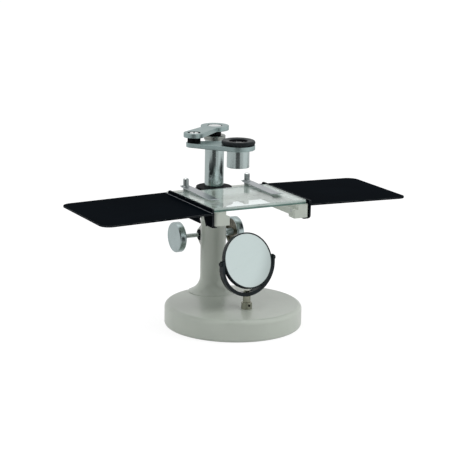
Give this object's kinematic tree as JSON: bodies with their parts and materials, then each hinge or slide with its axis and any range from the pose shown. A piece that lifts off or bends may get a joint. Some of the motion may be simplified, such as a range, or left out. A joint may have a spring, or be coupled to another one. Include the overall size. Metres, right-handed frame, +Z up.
{
  "type": "dissecting microscope",
  "caption": "Small dissecting microscope: round base, rack-focused post, jointed lens arm, glass stage with clips and hand rests, and a mirror in a turning fork.",
  "frame": {"origin": "centre of the round base's underside, on the surface that the microscope stands on", "axes": "+Z up, +Y towards the back where the pillar and the knobs are, +X to the user's right along the hand rests"},
  "size_m": [0.2904, 0.1275, 0.1701],
  "materials": {
    "grey_paint": "gloss",
    "black_paint": "satin",
    "chrome": "polished",
    "steel": "satin",
    "dark_steel": "satin",
    "black_plastic": "satin",
    "rubber": "matte",
    "brass": "satin",
    "stage_glass": "gloss",
    "lens_glass": "gloss",
    "mirror": "polished"
  },
  "bodies": {
    "stand": {"base": "grey_paint", "base_pad": "rubber", "pillar_bolt": "steel", "pillar_washer": "steel", "pillar": "grey_paint", "guide_bush": "black_plastic", "pinion_bushes": "black_plastic", "stage_casting": "grey_paint", "stage_screws": "steel", "stage_glass": "stage_glass", "mirror_socket": "brass", "socket_screw": "steel"},
    "post": {"focus_post": "chrome", "focus_rack": "steel", "rack_screws": "steel", "post_cap": "chrome", "post_spacer": "black_plastic", "post_screw": "chrome"},
    "pinion": {"pinion_shaft": "steel", "left_knob": "chrome", "right_knob": "chrome", "knob_screws": "steel"},
    "link": {"link_bar": "chrome"},
    "arm": {"lens_arm": "chrome", "arm_spacer": "black_plastic", "link_screw": "chrome"},
    "lens": {"lens_barrel": "chrome", "eye_ring": "black_plastic", "upper_lens": "lens_glass", "lens_spacer": "black_plastic", "lower_lens": "lens_glass", "lens_retainer": "black_plastic"},
    "left_rest": {"left_hand_rest": "black_paint", "left_rest_pins": "black_paint"},
    "right_rest": {"right_hand_rest": "black_paint", "right_rest_pins": "black_paint"},
    "left_clip": {"left_clip_stud": "chrome", "left_clip_leaf": "steel"},
    "right_clip": {"right_clip_stud": "chrome", "right_clip_leaf": "steel"},
    "fork": {"mirror_fork": "dark_steel", "fork_stem": "steel", "pivot_screws": "dark_steel"},
    "mirror": {"mirror_cell": "dark_steel", "mirror_glass": "mirror"}
  },
  "joints": [
    {"name": "post_slide", "type": "slide", "parent": "stand", "child": "post", "axis": [0, 0, 1], "range_m": [-0.01, 0.018]},
    {"name": "pinion_turn", "type": "hinge", "parent": "stand", "child": "pinion", "pos_m": [0, 0.054, 0.069], "axis": [1, 0, 0], "range_deg": [-290, 162]},
    {"name": "link_swing", "type": "hinge", "parent": "post", "child": "link", "pos_m": [0, 0.0398, 0.1686], "axis": [0, 0, 1], "continuous": true},
    {"name": "arm_swing", "type": "hinge", "parent": "link", "child": "arm", "pos_m": [-0.03292, 0.01454, 0.1596], "axis": [0, 0, 1], "range_deg": [-240, 37]},
    {"name": "lens_lift", "type": "slide", "parent": "arm", "child": "lens", "axis": [0, 0, 1], "range_m": [0, 0.02]},
    {"name": "left_rest_pull", "type": "slide", "parent": "stand", "child": "left_rest", "axis": [-1, 0, 0], "range_m": [0, 0.015]},
    {"name": "right_rest_pull", "type": "slide", "parent": "stand", "child": "right_rest", "axis": [1, 0, 0], "range_m": [0, 0.015]},
    {"name": "left_clip_swing", "type": "hinge", "parent": "stand", "child": "left_clip", "pos_m": [-0.03015, 0.0348, 0.118], "axis": [0, 0, 1], "range_deg": [-180, 25]},
    {"name": "right_clip_swing", "type": "hinge", "parent": "stand", "child": "right_clip", "pos_m": [0.03015, 0.0348, 0.118], "axis": [0, 0, 1], "range_deg": [-25, 180]},
    {"name": "fork_turn", "type": "hinge", "parent": "stand", "child": "fork", "pos_m": [0, -0.025, 0.022], "axis": [0, 0, 1], "continuous": true},
    {"name": "mirror_tilt", "type": "hinge", "parent": "fork", "child": "mirror", "pos_m": [0, -0.025, 0.0628], "axis": [0.9942, 0.108, 0], "continuous": true}
  ],
  "couplings": [
    {"joint": "pinion_turn", "follows": "post_slide", "rad_per_m": -277.78}
  ]
}
